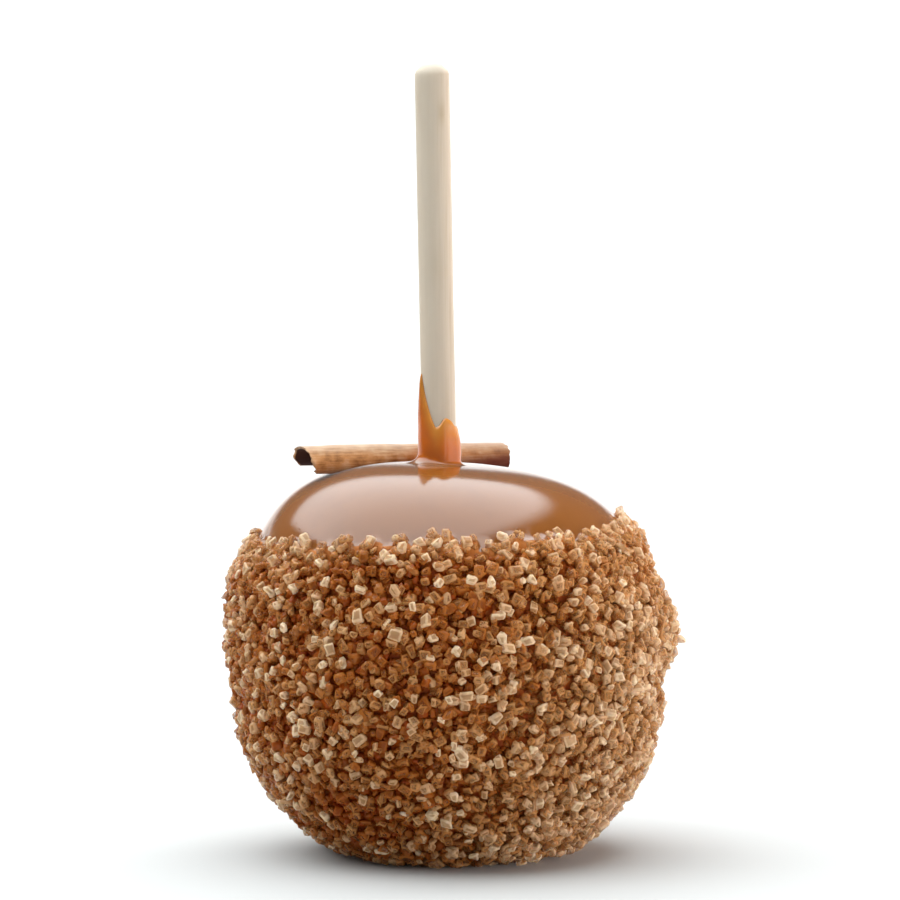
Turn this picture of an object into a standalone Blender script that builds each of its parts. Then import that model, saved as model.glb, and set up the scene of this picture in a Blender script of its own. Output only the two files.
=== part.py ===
"""A caramel apple on a wooden stick, rolled in coarse raw sugar, with a piece of cinnamon quill in its top.

Units are metres, +Z is up, and the origin is the middle of the flat spot that the apple stands on.
-Y is the side that faces the viewer. Three pieces, each one closed solid:

  coated_apple    the dipped fruit with its caramel coat, the collar of caramel that climbs the stick,
                  and the sugar crust: bumps the size of the crystals, with the largest crystals
                  fused on as blocks
  stick           the round wooden dowel, pushed 41 mm into the fruit
  cinnamon_quill  a rolled piece of bark, pressed into the caramel behind the stick
"""

import math
import random

import bmesh
import bpy
from mathutils import Matrix, Vector, noise

MM = 0.001
CLEARANCE = 0.3 * MM  # between solids that touch on the real thing
SEED = 11

# The dipped fruit without its sugar, a superellipse in its own frame. The frame is tilted and sheared,
# so the left shoulder is higher than the right one and the foot lies towards +X.
COAT_RADIUS = 37.9 * MM
HEIGHT_ABOVE_MIDDLE = 34.4 * MM
DEPTH_BELOW_MIDDLE = 39.8 * MM
UPPER_ROUNDNESS = 2.9  # the superellipse's power: 2 is an ellipsoid, and more is squarer
LOWER_ROUNDNESS = 2.25
FRUIT_MIDDLE = Vector((-2.4 * MM, 0.0, 37.7 * MM))
FRUIT_TILT = math.radians(3.8)  # about Y: the top leans towards +X
FRUIT_SHEAR = -0.03  # sideways shift along X for each unit of height
LOBES = ((2, 0.010), (3, 0.012), (5, 0.008))  # how many round the fruit, and share of the radius

# The sugar crust
CRUST_THICKNESS = 2.5 * MM
CRUST_TOP_Z = 60.3 * MM  # where the crust ends
CRUST_TOP_SLOPE = (0.045, -0.025)  # its rise along +X and along +Y
CRUST_TOP_WAVES = ((3, 0.55 * MM, 0.6), (7, 0.4 * MM, 2.0))  # how many round it, height, phase
CRUST_EDGE = 1.5 * MM  # height over which it rises to its thickness
CRUST_BUMP = 0.95 * MM  # how far the bumps reach in and out
CLUMP_REACH = 0.9 * MM  # how far the crust's clumps and bare places reach in and out
CLUMP_SIZE = 9.0 * MM
# Swells of the crust that show in its outline: side of the fruit, height, reach, and half-height
SWELLS = (
    (1.0, 40.0 * MM, 1.7 * MM, 5.0 * MM),
    (1.0, 54.0 * MM, -1.9 * MM, 5.5 * MM),
    (1.0, 31.0 * MM, -1.2 * MM, 3.5 * MM),
    (-1.0, 46.0 * MM, 0.4 * MM, 8.0 * MM),
    (-1.0, 27.0 * MM, -0.6 * MM, 5.0 * MM),
    (-1.0, 9.0 * MM, 0.9 * MM, 4.0 * MM),
)
SURFACE_POINTS = 3050
POINT_SCATTER = 0.3  # sideways scatter of the crust's points, as a share of their spacing

# The crystals that are fused on
CRYSTAL_COUNT = 240  # over the whole fruit: those above the crust are left out
CRYSTAL_SIDE = (1.8 * MM, 2.9 * MM)
CRYSTAL_SHAPE = ((0.8, 1.2), (0.7, 1.0), (0.8, 0.9))  # length, width and height for each unit of side
CRYSTAL_SKEW = 0.2
CRYSTAL_LEAN = math.radians(35.0)
CRYSTAL_SINK = 0.12  # share of its side by which a crystal's middle lies in the crust
CRYSTAL_SCATTER = 0.07  # in unit directions from the fruit's middle
CRYSTAL_NEEDS_CRUST = 0.7  # share of the crust's thickness that a crystal needs under it

# The stick
STICK_RADIUS = 3.18 * MM
STICK_LENGTH = 114.3 * MM
STICK_TOP = Vector((-5.3 * MM, 0.0, 146.0 * MM))
STICK_LEAN = math.radians(-1.1)  # about Y
STICK_CHAMFER = 1.5 * MM
STICK_SIDES = 32

# The collar of caramel round the stick
COLLAR_WALL = 0.6 * MM
COLLAR_TIP_WALL = 0.2 * MM
COLLAR_FOOT_Z = 66.0 * MM
COLLAR_FLARE = 1.0 * MM
COLLAR_FLARE_Z = 72.5 * MM  # height from which the flare fades
COLLAR_FLARE_FADE = 0.9 * MM
COLLAR_RIM_Z = 77.6 * MM
COLLAR_COLUMNS = 36
COLLAR_ROWS = 8
# The flames of caramel drawn up the stick: angle from +X in degrees, height, half-width in degrees
COLLAR_FLAMES = ((206.0, 12.0 * MM, 23.0), (300.0, 3.3 * MM, 24.0), (75.0, 4.0 * MM, 40.0))

# The cinnamon quill
QUILL_RADIUS = 2.75 * MM
QUILL_LENGTH = 41.6 * MM
QUILL_BARK = 0.75 * MM
QUILL_GAP = 0.4 * MM  # between the turns of the roll
QUILL_ROLL = (0.0, 405.0)  # degrees of the roll, from its outer edge to its inner one
QUILL_OVERLAP_FROM = 262.0  # degrees at which the bark starts to dip under its outer edge
QUILL_TURN = math.radians(28.0)  # about Z: its +X end lies further back
QUILL_TILT = math.radians(1.1)  # about Y: its +X end lies lower
QUILL_MIDDLE_Z = 72.8 * MM
QUILL_BEHIND_STICK = 7.0 * MM  # from the stick's axis to the quill's
QUILL_MIDDLE_FROM_STICK = -6.7 * MM  # along X
QUILL_CUT = 0.85  # how far the lower half of its -X end is cut back for each unit of height
QUILL_TAPER = 0.03  # share of its radius that it loses towards its +X end
QUILL_SWELL = 0.015  # how unevenly thick it is, as a share of its radius
QUILL_STEPS = 8
QUILL_SECTION_STEPS = 34
QUILL_BED_SIDES = 20


def clear_scene():
    """Removes the objects that a new Blender file starts with."""
    for obj in list(bpy.data.objects):
        bpy.data.objects.remove(obj)


def material(name, colour, roughness, metallic=0.0):
    """A Principled material with one colour."""
    made = bpy.data.materials.new(name)
    made.use_nodes = True
    shader = made.node_tree.nodes["Principled BSDF"]
    shader.inputs["Base Color"].default_value = (*colour, 1.0)
    shader.inputs["Roughness"].default_value = roughness
    shader.inputs["Metallic"].default_value = metallic
    return made


def add_object(name, body, finish=None, frame=None, collection=None):
    """A new object from a bmesh, placed by its frame, in the scene's collection or in the one given."""
    mesh = bpy.data.meshes.new(name)
    body.to_mesh(mesh)
    body.free()
    obj = bpy.data.objects.new(name, mesh)
    obj.matrix_world = frame or Matrix.Identity(4)
    if finish:
        mesh.materials.append(finish)
    (collection or bpy.context.scene.collection).objects.link(obj)
    return obj


def add_cutter(name, body, frame=None):
    """An object that shapes others and is no part of the model."""
    obj = add_object(name, body, frame=frame)
    obj.hide_render = True
    obj.display_type = "WIRE"
    return obj


def smoothstep(value):
    """0 below 0, 1 above 1, and a smooth rise between them."""
    value = min(1.0, max(0.0, value))
    return value * value * (3.0 - 2.0 * value)


def bell(away, half_width):
    """A bump: 1 at its middle, and falling to 0 on both sides."""
    return math.exp(-((away / half_width) ** 2))


def ring(body, points):
    """A closed loop of new vertices."""
    return [body.verts.new(point) for point in points]


def bridge(body, rings):
    """Faces between neighbouring loops of the same count."""
    for lower, upper in zip(rings, rings[1:]):
        for index, start in enumerate(lower):
            nearby = (index + 1) % len(lower)
            body.faces.new((start, lower[nearby], upper[nearby], upper[index]))


def fan(body, loop, middle, facing_up):
    """Closes a loop of vertices with triangles to a point in its middle."""
    tip = body.verts.new(middle)
    for index, start in enumerate(loop):
        end = loop[(index + 1) % len(loop)]
        body.faces.new((start, end, tip) if facing_up else (end, start, tip))


def circle(radius, height, sides):
    """Points round +Z, anticlockwise."""
    for index in range(sides):
        angle = math.tau * index / sides
        yield Vector((radius * math.cos(angle), radius * math.sin(angle), height))


def rod(radius, top, bottom, sides, chamfer=0.0):
    """A round rod along Z, with both ends chamfered if asked."""
    body = bmesh.new()
    sections = [(radius, bottom + chamfer), (radius, top - chamfer)]
    if chamfer:
        sections = [(radius - chamfer, bottom), *sections, (radius - chamfer, top)]
    rings = [ring(body, circle(wide, height, sides)) for wide, height in sections]
    bridge(body, rings)
    body.faces.new(reversed(rings[0]))
    body.faces.new(rings[-1])
    return body


def fruit_frame():
    """From the fruit's own frame, with its middle at the origin, to the part's frame."""
    shear = Matrix.Identity(4)
    shear[0][2] = FRUIT_SHEAR
    return Matrix.Translation(FRUIT_MIDDLE) @ shear @ Matrix.Rotation(FRUIT_TILT, 4, "Y")


def coat_distance(direction):
    """How far the caramel lies from the fruit's middle in a direction of the fruit's own frame."""
    across = math.hypot(direction.x, direction.y)
    angle = math.atan2(direction.y, direction.x)
    radius = COAT_RADIUS
    for count, share in LOBES:
        radius *= 1.0 + share * across * math.sin(count * angle)
    height, power = HEIGHT_ABOVE_MIDDLE, UPPER_ROUNDNESS
    if direction.z < 0.0:
        height, power = DEPTH_BELOW_MIDDLE, LOWER_ROUNDNESS
    return ((across / radius) ** power + (abs(direction.z) / height) ** power) ** (-1.0 / power)


def crust_share(point):
    """0 on bare caramel and 1 where the crust has its full thickness, at a point of the part's frame."""
    angle = math.atan2(point.y, point.x - FRUIT_MIDDLE.x)
    edge = CRUST_TOP_Z + CRUST_TOP_SLOPE[0] * point.x + CRUST_TOP_SLOPE[1] * point.y
    edge += sum(high * math.sin(count * angle + phase) for count, high, phase in CRUST_TOP_WAVES)
    return smoothstep((edge - point.z) / CRUST_EDGE)


def clumping(point):
    """How much thicker the crust is than usual at a point of the part's frame: its clumps and swells."""
    reach = CLUMP_REACH * noise.noise(point / CLUMP_SIZE)
    for side, height, swell, half_height in SWELLS:
        beside = max(0.0, side * (point.x - FRUIT_MIDDLE.x) / COAT_RADIUS) ** 6
        reach += swell * beside * bell(point.z - height, half_height)
    return reach


def surface_point(direction, bump=0.0):
    """A point of the crusted fruit's outside, in a direction of its own frame, and the crust's share there.

    bump runs from -1 to 1 and moves the point out or in where there is crust.
    """
    frame = fruit_frame()
    on_coat = frame @ (direction * coat_distance(direction))
    outward = (frame.to_3x3() @ direction).normalized()
    share = crust_share(on_coat)
    return on_coat + outward * share * (CRUST_THICKNESS + clumping(on_coat) + CRUST_BUMP * bump), share


def scatter(draw, reach):
    """A random offset of up to reach along each axis."""
    return Vector([draw.uniform(-reach, reach) for _ in range(3)])


def spiral_directions(count):
    """Unit vectors spread evenly over a sphere, along the golden-angle spiral."""
    golden_angle = math.pi * (3.0 - math.sqrt(5.0))
    for index in range(count):
        height = 1.0 - (2.0 * index + 1.0) / count
        across = math.sqrt(1.0 - height * height)
        turn = golden_angle * index
        yield Vector((across * math.cos(turn), across * math.sin(turn), height))


def fruit_body(draw):
    """The dipped fruit with the bumps of its crust: a hull of spiral points, moved out to its form."""
    body = bmesh.new()
    spacing = math.sqrt(4.0 * math.pi / SURFACE_POINTS)
    for direction in spiral_directions(SURFACE_POINTS):
        body.verts.new(direction)
    bmesh.ops.convex_hull(body, input=body.verts)
    for vert in body.verts:
        share = surface_point(vert.co)[1]
        direction = (vert.co + scatter(draw, POINT_SCATTER * spacing * share)).normalized()
        vert.co = surface_point(direction, draw.uniform(-1.0, 1.0))[0]
    bmesh.ops.recalc_face_normals(body, faces=body.faces)
    return body


def crystal_block(draw, middle, outward):
    """One sugar crystal: a skewed block, half sunk in the crust, turned at random."""
    block = bmesh.new()
    bmesh.ops.create_cube(block, size=1.0)
    side = draw.uniform(*CRYSTAL_SIDE)
    size = Vector([side * draw.uniform(*limits) for limits in CRYSTAL_SHAPE])
    skew = Matrix.Shear("XY", 3, [draw.uniform(-CRYSTAL_SKEW, CRYSTAL_SKEW) for _ in range(2)])
    turn = Matrix.Rotation(draw.uniform(0.0, math.tau), 4, "Z")
    lean = Matrix.Rotation(draw.uniform(-CRYSTAL_LEAN, CRYSTAL_LEAN), 4, "X")
    face_out = outward.to_track_quat("Z", "Y").to_matrix().to_4x4()
    place = Matrix.Translation(middle - outward * side * CRYSTAL_SINK) @ face_out @ lean @ turn
    shape = skew.to_4x4() @ Matrix.Diagonal(size).to_4x4()
    bmesh.ops.transform(block, matrix=place @ shape, verts=block.verts)
    return block


def add_crystals(draw, collection):
    """The largest crystals, spread evenly over the crust."""
    for index, direction in enumerate(spiral_directions(CRYSTAL_COUNT)):
        direction = (direction + scatter(draw, CRYSTAL_SCATTER)).normalized()
        middle, share = surface_point(direction)
        outward = (fruit_frame().to_3x3() @ direction).normalized()
        if share > CRYSTAL_NEEDS_CRUST:
            add_object(f"crystal_{index:03d}", crystal_block(draw, middle, outward), collection=collection)


def stick_frame():
    """From the stick's own frame, with its top end at the origin and its length along -Z."""
    return Matrix.Translation(STICK_TOP) @ Matrix.Rotation(STICK_LEAN, 4, "Y")


def stick_point(height):
    """The middle of the stick at a height of the part's frame."""
    along = (height - STICK_TOP.z) / math.cos(STICK_LEAN)
    return stick_frame() @ Vector((0.0, 0.0, along))


def make_stick(wood):
    """The dowel, with a chamfer at both ends."""
    body = rod(STICK_RADIUS, 0.0, -STICK_LENGTH, STICK_SIDES, STICK_CHAMFER)
    stick = add_object("stick", body, wood, stick_frame())
    stick.data.shade_smooth()
    stick.data.set_sharp_from_angle(angle=math.radians(30.0))


def stick_bore():
    """What the stick's hole removes from the fruit."""
    body = rod(STICK_RADIUS + CLEARANCE, CLEARANCE, -STICK_LENGTH - CLEARANCE, STICK_SIDES)
    return add_cutter("stick_bore", body, stick_frame())


def collar_rim(degrees):
    """Height of the collar's rim at an angle round the stick."""
    rim = COLLAR_RIM_Z
    for middle, high, half_width in COLLAR_FLAMES:
        rim += high * bell((degrees - middle + 180.0) % 360.0 - 180.0, half_width)
    return rim


def add_collar(collection):
    """The caramel that climbs the stick: a flared plug with flames drawn up from its rim."""
    body = bmesh.new()
    rows = []
    for row in range(COLLAR_ROWS + 1):
        share = row / COLLAR_ROWS
        wall = COLLAR_WALL + (COLLAR_TIP_WALL - COLLAR_WALL) * share**3
        points = []
        for column in range(COLLAR_COLUMNS):
            degrees = 360.0 * column / COLLAR_COLUMNS
            height = COLLAR_FOOT_Z + (collar_rim(degrees) - COLLAR_FOOT_Z) * share
            flare = COLLAR_FLARE * math.exp(-max(0.0, height - COLLAR_FLARE_Z) / COLLAR_FLARE_FADE)
            outward = Matrix.Rotation(math.radians(degrees), 3, "Z") @ Vector((1.0, 0.0, 0.0))
            points.append(stick_point(height) + outward * (STICK_RADIUS + CLEARANCE + wall + flare))
        rows.append(ring(body, points))
    bridge(body, rows)
    fan(body, rows[0], stick_point(COLLAR_FOOT_Z), facing_up=False)
    fan(body, rows[-1], stick_point(COLLAR_RIM_Z), facing_up=True)
    add_object("collar", body, collection=collection)


def quill_frame():
    """From the quill's own frame, with its length along X, to the part's frame."""
    along = Vector((math.cos(QUILL_TURN), math.sin(QUILL_TURN), 0.0))
    behind = QUILL_BEHIND_STICK * Vector((-along.y, along.x, 0.0))
    reach = (QUILL_MIDDLE_FROM_STICK - behind.x) / along.x
    middle = stick_point(QUILL_MIDDLE_Z) + behind + along * reach
    turn = Matrix.Rotation(QUILL_TURN, 4, "Z") @ Matrix.Rotation(QUILL_TILT, 4, "Y")
    return Matrix.Translation(middle) @ turn


def roll_radius(degrees):
    """Distance of the bark's middle line from the roll's axis, at an angle along the roll."""
    outer = QUILL_RADIUS - QUILL_BARK / 2.0
    inner = outer - QUILL_BARK - QUILL_GAP
    dip = smoothstep((degrees - QUILL_OVERLAP_FROM) / (360.0 - QUILL_OVERLAP_FROM))
    return outer + (inner - outer) * dip


def roll_section():
    """The roll of bark cut across: along its outside to the inner edge, then back along its inside."""
    start, end = QUILL_ROLL
    angles = [start + (end - start) * step / QUILL_SECTION_STEPS for step in range(QUILL_SECTION_STEPS + 1)]
    outside = [(roll_radius(angle) + QUILL_BARK / 2.0, math.radians(angle)) for angle in angles]
    inside = [(roll_radius(angle) - QUILL_BARK / 2.0, math.radians(angle)) for angle in reversed(angles)]
    return [(radius * math.cos(angle), radius * math.sin(angle)) for radius, angle in outside + inside]


def make_quill(bark):
    """The quill: its rolled section run along X, with the lower half of its -X end cut back."""
    body = bmesh.new()
    section = roll_section()
    rings = []
    for step in range(QUILL_STEPS + 1):
        share = step / QUILL_STEPS
        swell = 1.0 - QUILL_TAPER * share + QUILL_SWELL * math.sin(9.0 * share)
        cut_back = QUILL_CUT * (1.0 - smoothstep(2.0 * share))
        points = []
        for across, up in section:
            along = QUILL_LENGTH * (share - 0.5) + cut_back * max(0.0, -up)
            points.append(Vector((along, across * swell, up * swell)))
        rings.append(ring(body, points))
    bridge(body, rings)
    body.faces.new(reversed(rings[0]))
    body.faces.new(rings[-1])
    bmesh.ops.recalc_face_normals(body, faces=body.faces)
    add_object("cinnamon_quill", body, bark, quill_frame())


def quill_bed():
    """What the quill's bed removes from the caramel."""
    reach = QUILL_LENGTH / 2.0 + QUILL_RADIUS
    body = rod(QUILL_RADIUS * (1.0 + QUILL_SWELL) + CLEARANCE, reach, -reach, QUILL_BED_SIDES)
    lying = quill_frame() @ Matrix.Rotation(math.radians(90.0), 4, "Y")
    return add_cutter("quill_bed", body, lying)


def table_block():
    """Everything below the surface that the apple stands on."""
    body = bmesh.new()
    side = 3.0 * COAT_RADIUS
    bmesh.ops.create_cube(body, size=side)
    return add_cutter("table_block", body, Matrix.Translation((0.0, 0.0, -side / 2.0)))


def fuse(obj, collection):
    """Fuses a collection's objects to an object with one Boolean union, and removes them."""
    union = obj.modifiers.new("fuse", "BOOLEAN")
    union.operation = "UNION"
    union.operand_type = "COLLECTION"
    union.collection = collection
    union.solver = "MANIFOLD"
    bpy.context.view_layer.update()
    graph = bpy.context.evaluated_depsgraph_get()
    fused = bpy.data.meshes.new_from_object(obj.evaluated_get(graph), depsgraph=graph)
    obj.modifiers.clear()
    obj.data = fused
    for loose in list(collection.objects):
        bpy.data.objects.remove(loose)
    bpy.data.collections.remove(collection)


def cut(obj, cutter):
    """Cuts an object with a cutter, by a modifier that stays on it."""
    modifier = obj.modifiers.new(cutter.name, "BOOLEAN")
    modifier.operation = "DIFFERENCE"
    modifier.object = cutter


def make_coated_apple(caramel):
    """The fruit with crust, crystals and collar as one solid, cut for the table, the stick and the quill."""
    draw = random.Random(SEED)
    apple = add_object("coated_apple", fruit_body(draw), caramel)
    toppings = bpy.data.collections.new("toppings")
    bpy.context.scene.collection.children.link(toppings)
    add_crystals(draw, toppings)
    add_collar(toppings)
    fuse(apple, toppings)
    for cutter in (table_block(), stick_bore(), quill_bed()):
        cut(apple, cutter)


def main():
    """Builds the whole part."""
    clear_scene()
    make_coated_apple(material("sugared_caramel", (0.42, 0.19, 0.05), 0.35))
    make_stick(material("birch", (0.72, 0.62, 0.46), 0.65))
    make_quill(material("cinnamon_bark", (0.45, 0.22, 0.1), 0.7))


main()
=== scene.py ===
"""The looks of a caramel apple on a stick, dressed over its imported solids.

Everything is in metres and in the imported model's frame: +Z is up, -Y faces the viewer, and the apple
stands on z = 0.

  FruitForm    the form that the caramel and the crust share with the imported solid
  Dowel        the birch stick
  Quill        the cinnamon quill
  CaramelCoat  the caramel with its collar round the stick, and the soaked sugar under the crust
  SugarCrust   the raw sugar crystals, one piece for each kind
  Studio       camera, lights and the pale sweep that the apple stands on
"""

from __future__ import annotations

import logging
import math
from collections.abc import Callable, Iterable
from dataclasses import dataclass
from enum import Enum
from functools import partial
from itertools import product
from typing import Any

import bpy
import numpy as np
from mathutils import Matrix, Vector, noise

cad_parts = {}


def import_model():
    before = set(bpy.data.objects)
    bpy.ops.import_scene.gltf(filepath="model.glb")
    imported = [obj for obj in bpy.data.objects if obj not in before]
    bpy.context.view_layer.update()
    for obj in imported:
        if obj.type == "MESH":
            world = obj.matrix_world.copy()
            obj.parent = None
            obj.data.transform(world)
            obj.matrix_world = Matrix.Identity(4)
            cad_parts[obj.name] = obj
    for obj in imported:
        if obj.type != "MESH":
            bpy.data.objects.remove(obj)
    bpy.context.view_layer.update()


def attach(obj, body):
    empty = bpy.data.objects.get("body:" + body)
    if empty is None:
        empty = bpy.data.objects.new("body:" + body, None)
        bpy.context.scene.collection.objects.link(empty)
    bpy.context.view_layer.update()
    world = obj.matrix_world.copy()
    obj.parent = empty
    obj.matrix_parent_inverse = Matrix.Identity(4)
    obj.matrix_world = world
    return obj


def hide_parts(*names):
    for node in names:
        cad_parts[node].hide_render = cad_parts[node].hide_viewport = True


MM = 0.001
LOG = logging.getLogger("caramel_apple")

Array = np.ndarray
Pair = tuple[float, float]
Triple = tuple[float, float, float]
Rows = tuple[tuple[float, ...], ...]
Socket = bpy.types.NodeSocket
Inputs = dict[str | int, Any]
NodeAdder = Callable[..., Socket]


class Slot(Enum):
    """The record's material slots."""

    CARAMEL = "sugared_caramel"
    BIRCH = "birch"
    BARK = "cinnamon_bark"


# ---------------------------------------------------------------------------------------------- numbers


def smoothstep(value: Array | float, low: float = 0.0, high: float = 1.0) -> Array:
    """0 below low, 1 above high, and a smooth rise between them."""
    share = np.clip((value - low) / (high - low), 0.0, 1.0)
    return share * share * (3.0 - 2.0 * share)


def bell(away: Array | float, half_width: float) -> Array:
    """A bump: 1 at its middle, and falling to 0 on both sides."""
    return np.exp(-((np.asarray(away) / half_width) ** 2))


def turned_away(degrees: Array, middle: float) -> Array:
    """Signed angle in degrees from a middle angle, from -180 to 180."""
    return (degrees - middle + 180.0) % 360.0 - 180.0


def unit(vectors: Array) -> Array:
    """Vectors brought to length 1."""
    return vectors / np.linalg.norm(vectors, axis=-1, keepdims=True)


def moved(points: Array, frame: Matrix) -> Array:
    """Points taken through a 4 by 4 matrix."""
    matrix = np.array(frame)
    return points @ matrix[:3, :3].T + matrix[:3, 3]


def noise_at(points: Array, size: float, seed: float = 0.0) -> Array:
    """Smooth noise at many points.

    Args:
        points: An array whose last axis holds X, Y and Z.
        size: The noise's grain, in metres.
        seed: An offset that picks another noise.

    Returns:
        Values of about -1 to 1, one for each point.
    """
    flat = points.reshape(-1, 3) / size + seed
    return np.array([noise.noise(Vector(point)) for point in flat]).reshape(points.shape[:-1])


def spiral_directions(count: int) -> Array:
    """Spreads directions evenly over a sphere, along the golden-angle spiral.

    Args:
        count: How many.

    Returns:
        Unit vectors.
    """
    index = np.arange(count)
    height = 1.0 - (2.0 * index + 1.0) / count
    across = np.sqrt(1.0 - height**2)
    turn = math.pi * (3.0 - math.sqrt(5.0)) * index
    return np.stack([across * np.cos(turn), across * np.sin(turn), height], axis=-1)


# ------------------------------------------------------------------------------------ meshes and pieces


def grid(rows: int, columns: int, closed: bool = True) -> Array:
    """Lays quads between rows of points.

    Args:
        rows: How many rows.
        columns: How many points each row has.
        closed: Whether each row runs on to its own start.

    Returns:
        Vertex indices, one row for each quad.
    """
    here = np.arange(columns if closed else columns - 1)
    after = (here + 1) % columns
    first = (np.arange(rows - 1) * columns)[:, None]
    quads = [first + here, first + after, first + columns + after, first + columns + here]
    return np.stack(quads, axis=-1).reshape(-1, 4)


def new_mesh(name: str, points: Array, *faces: Array) -> bpy.types.Mesh:
    """Builds a mesh.

    Args:
        name: The mesh's name.
        points: Vertices, one row each.
        *faces: Arrays of vertex indices, one row for each face, each array with its own number of corners.

    Returns:
        The mesh.
    """
    corners = np.concatenate([group.ravel() for group in faces])
    sizes = np.concatenate([np.full(len(group), group.shape[1]) for group in faces])
    mesh = bpy.data.meshes.new(name)
    mesh.vertices.add(len(points))
    mesh.vertices.foreach_set("co", points.astype(np.float32).ravel())
    mesh.loops.add(len(corners))
    mesh.loops.foreach_set("vertex_index", corners.astype(np.int32))
    mesh.polygons.add(len(sizes))
    mesh.polygons.foreach_set("loop_start", (np.cumsum(sizes) - sizes).astype(np.int32))
    mesh.update(calc_edges=True)
    mesh.validate()
    return mesh


def tube_mesh(name: str, rows: Array, ends: Array) -> bpy.types.Mesh:
    """Builds a smooth closed tube from rings of points.

    Args:
        name: The mesh's name.
        rows: Points, as rings by points by X, Y, Z.
        ends: The point that closes the first ring, and the one that closes the last.

    Returns:
        The mesh, with the two closing points as its last vertices.
    """
    count, around = rows.shape[:2]
    ring = np.arange(around)
    after = (ring + 1) % around
    last, tip = (count - 1) * around, np.full(around, count * around)
    opening = np.stack([after, ring, tip], axis=-1)
    closing = np.stack([last + ring, last + after, tip + 1], axis=-1)
    mesh = new_mesh(name, np.concatenate([rows.reshape(-1, 3), ends]), grid(count, around), opening, closing)
    mesh.shade_smooth()
    return mesh


def add_piece(
    mesh: bpy.types.Mesh, slot: Slot, node: str, materials: Iterable[bpy.types.Material], **values: Array
) -> bpy.types.Object:
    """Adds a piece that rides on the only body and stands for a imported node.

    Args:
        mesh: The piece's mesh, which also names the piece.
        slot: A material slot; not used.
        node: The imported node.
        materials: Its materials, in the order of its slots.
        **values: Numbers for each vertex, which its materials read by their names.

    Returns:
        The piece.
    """
    for name, numbers in values.items():
        layer = mesh.attributes.new(name, "FLOAT", "POINT")
        layer.data.foreach_set("value", numbers.astype(np.float32).ravel())
    for material in materials:
        mesh.materials.append(material)
    piece = bpy.data.objects.new(mesh.name, mesh)
    bpy.context.scene.collection.objects.link(piece)
    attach(piece, "root")
    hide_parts(node)
    LOG.info("%s: %d faces", piece.name, len(mesh.polygons))
    return piece


def add_stage(mesh: bpy.types.Mesh, finish: Finish) -> bpy.types.Object:
    """Adds a thing of the studio, which isn't part of the apple.

    Args:
        mesh: Its mesh, which also names it.
        finish: Its finish.

    Returns:
        The object.
    """
    mesh.materials.append(finish.make())
    thing = bpy.data.objects.new(mesh.name, mesh)
    bpy.context.scene.collection.objects.link(thing)
    return thing


# ------------------------------------------------------------------------------------- nodes and finishes


def linear(hex_colour: str) -> tuple[float, ...]:
    """Turns an sRGB hex colour, such as "#b5763f", to linear RGBA."""
    channels = [int(hex_colour[start : start + 2], 16) / 255.0 for start in (1, 3, 5)]
    return (*[c / 12.92 if c <= 0.04045 else ((c + 0.055) / 1.055) ** 2.4 for c in channels], 1.0)


def feed(node: bpy.types.Node, inputs: Inputs | Iterable[Any]) -> None:
    """Sets and links a node's inputs.

    Args:
        node: The node.
        inputs: Numbers, hex colours, or outputs of other nodes to link: by socket, or in the sockets' order.
    """
    for key, value in inputs.items() if isinstance(inputs, dict) else enumerate(inputs):
        if isinstance(value, Socket):
            node.id_data.links.new(value, node.inputs[key])
        else:
            node.inputs[key].default_value = linear(value) if isinstance(value, str) else value


def add_node(
    tree: bpy.types.NodeTree,
    kind: str,
    inputs: Inputs | Iterable[Any] = (),
    out: str | int = 0,
    stops: Iterable[tuple[float, str]] = (),
    **settings: Any,
) -> Socket:
    """Adds a shader node with its settings and links.

    Args:
        tree: The node tree.
        kind: The end of the node's type name, after ShaderNode.
        inputs: What its inputs get, as feed takes it.
        out: The output that is wanted.
        stops: Positions and hex colours of a colour ramp.
        **settings: Properties of the node.

    Returns:
        The wanted output.
    """
    node = tree.nodes.new(f"ShaderNode{kind}")
    for name, value in settings.items():
        setattr(node, name, value)
    feed(node, inputs)
    for index, (position, colour) in enumerate(stops):
        elements = node.color_ramp.elements
        element = elements[index] if index < 2 else elements.new(position)
        element.position = position
        element.color = linear(colour)
    return node.outputs[out]


def tinted(add: NodeAdder, colour: Socket | str, *layers: tuple[str, Socket | str]) -> Socket:
    """Lays tints over a colour.

    Args:
        add: What adds a node.
        colour: The colour underneath.
        *layers: The name of a piece's vertex value, 0 to 1, and the tint that shows where it is 1.

    Returns:
        The tinted colour.
    """
    for value, tint in layers:
        share = add("Attribute", out="Fac", attribute_name=value)
        colour = add("Mix", {0: share, 6: colour, 7: tint}, 2, data_type="RGBA")
    return colour


class Finish:
    """A finish: its material's name, and what its Principled shader gets."""

    name: str

    def surface(self, add: NodeAdder) -> Inputs:
        """Gives the shader's inputs, by socket."""
        raise NotImplementedError

    def make(self) -> bpy.types.Material:
        """Builds the material.

        Returns:
            The material.
        """
        material = bpy.data.materials.new(self.name)
        material.use_nodes = True
        tree = material.node_tree
        feed(tree.nodes["Principled BSDF"], self.surface(partial(add_node, tree)))
        return material


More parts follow.
